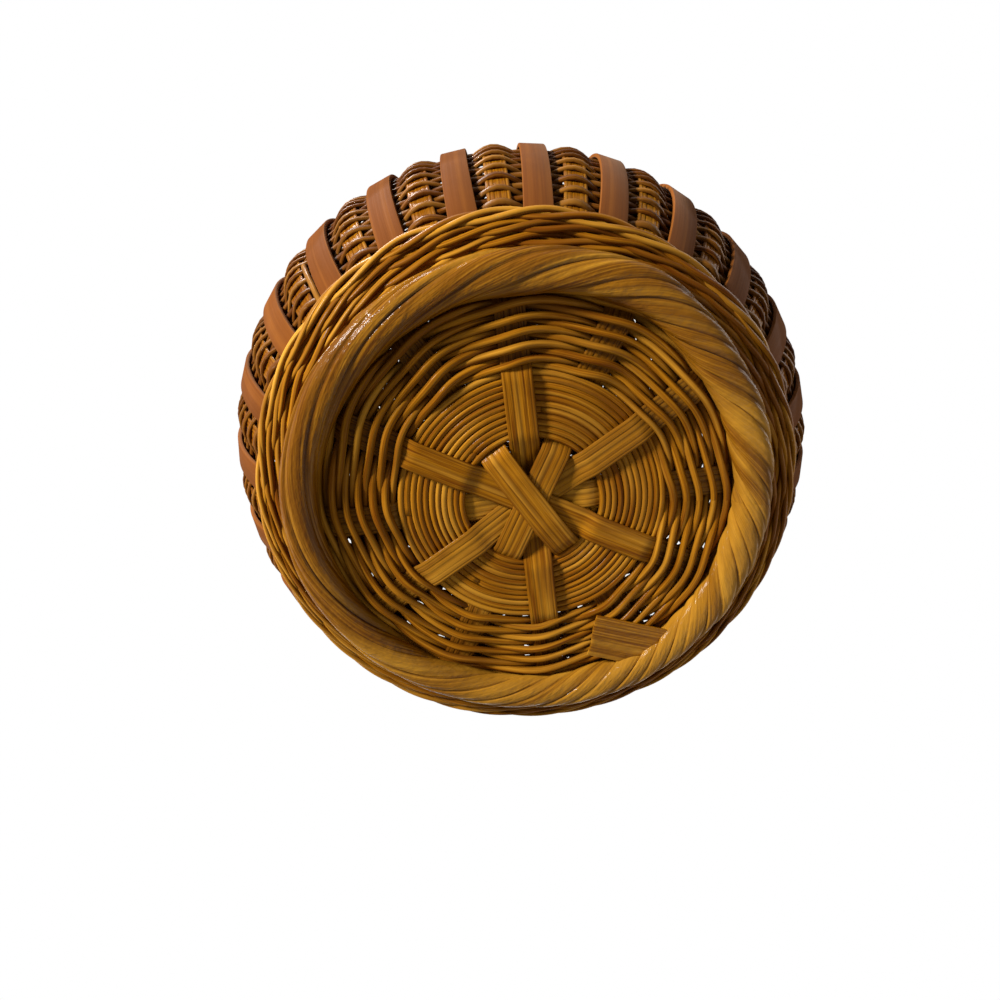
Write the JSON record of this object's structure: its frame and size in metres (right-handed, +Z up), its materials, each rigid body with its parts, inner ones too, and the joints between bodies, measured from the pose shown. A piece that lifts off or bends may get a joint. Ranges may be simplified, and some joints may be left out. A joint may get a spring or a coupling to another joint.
{
  "type": "wicker owl basket",
  "caption": "Round bulging wicker basket on a twisted rope foot, with dark ribs over the wall and a lift-off woven head as its lid.",
  "frame": {"origin": "on the ground, under the centre of the foot's rope ring", "axes": "+Z up, the way the lid lifts; the owl's face looks along -Y"},
  "size_m": [0.1828, 0.1828, 0.2078],
  "materials": {
    "golden_cane": "satin",
    "rope_peel": "satin",
    "dark_weave": "satin",
    "brown_rib": "satin",
    "head_weave": "satin",
    "dark_bead": "gloss",
    "beak_wood": "satin"
  },
  "bodies": {
    "basket": {"base_strip_1": "golden_cane", "base_strip_2": "golden_cane", "base_strip_3": "golden_cane", "base_strip_4": "golden_cane", "base_strip_5": "golden_cane", "base_strip_6": "golden_cane", "base_band": "golden_cane", "twining_outside": "golden_cane", "twining_inside": "golden_cane", "lower_waling": "golden_cane", "upper_waling": "golden_cane", "foot_rope": "rope_peel", "rope_tail": "rope_peel", "rim_rope": "rope_peel", "wall_weave": "dark_weave", "wall_rib_01": "brown_rib", "wall_rib_02": "brown_rib", "wall_rib_03": "brown_rib", "wall_rib_04": "brown_rib", "wall_rib_05": "brown_rib", "wall_rib_06": "brown_rib", "wall_rib_07": "brown_rib", "wall_rib_08": "brown_rib", "wall_rib_09": "brown_rib", "wall_rib_10": "brown_rib", "wall_rib_11": "brown_rib", "wall_rib_12": "brown_rib", "wall_rib_13": "brown_rib", "wall_rib_14": "brown_rib", "wall_rib_15": "brown_rib", "wall_rib_16": "brown_rib", "wall_rib_17": "brown_rib", "wall_rib_18": "brown_rib", "wall_rib_19": "brown_rib", "wall_rib_20": "brown_rib", "wall_rib_21": "brown_rib", "wall_rib_22": "brown_rib", "wall_rib_23": "brown_rib", "wall_rib_24": "brown_rib"},
    "lid": {"lid_rope": "rope_peel", "lid_seat_ring": "golden_cane", "head_weave": "head_weave", "crown_coil": "golden_cane", "left_eye_coil": "golden_cane", "right_eye_coil": "golden_cane", "left_ear_tuft": "golden_cane", "right_ear_tuft": "golden_cane", "left_eye_bead": "dark_bead", "right_eye_bead": "dark_bead", "beak": "beak_wood", "head_rib_01": "brown_rib", "head_rib_02": "brown_rib", "head_rib_03": "brown_rib", "head_rib_04": "brown_rib", "head_rib_05": "brown_rib", "head_rib_06": "brown_rib", "head_rib_07": "brown_rib", "head_rib_08": "brown_rib", "head_rib_09": "brown_rib", "head_rib_10": "brown_rib"}
  },
  "joints": [
    {"name": "lid_lift", "type": "slide", "parent": "basket", "child": "lid", "axis": [0, 0, 1], "range_m": [0, 0.08]}
  ]
}
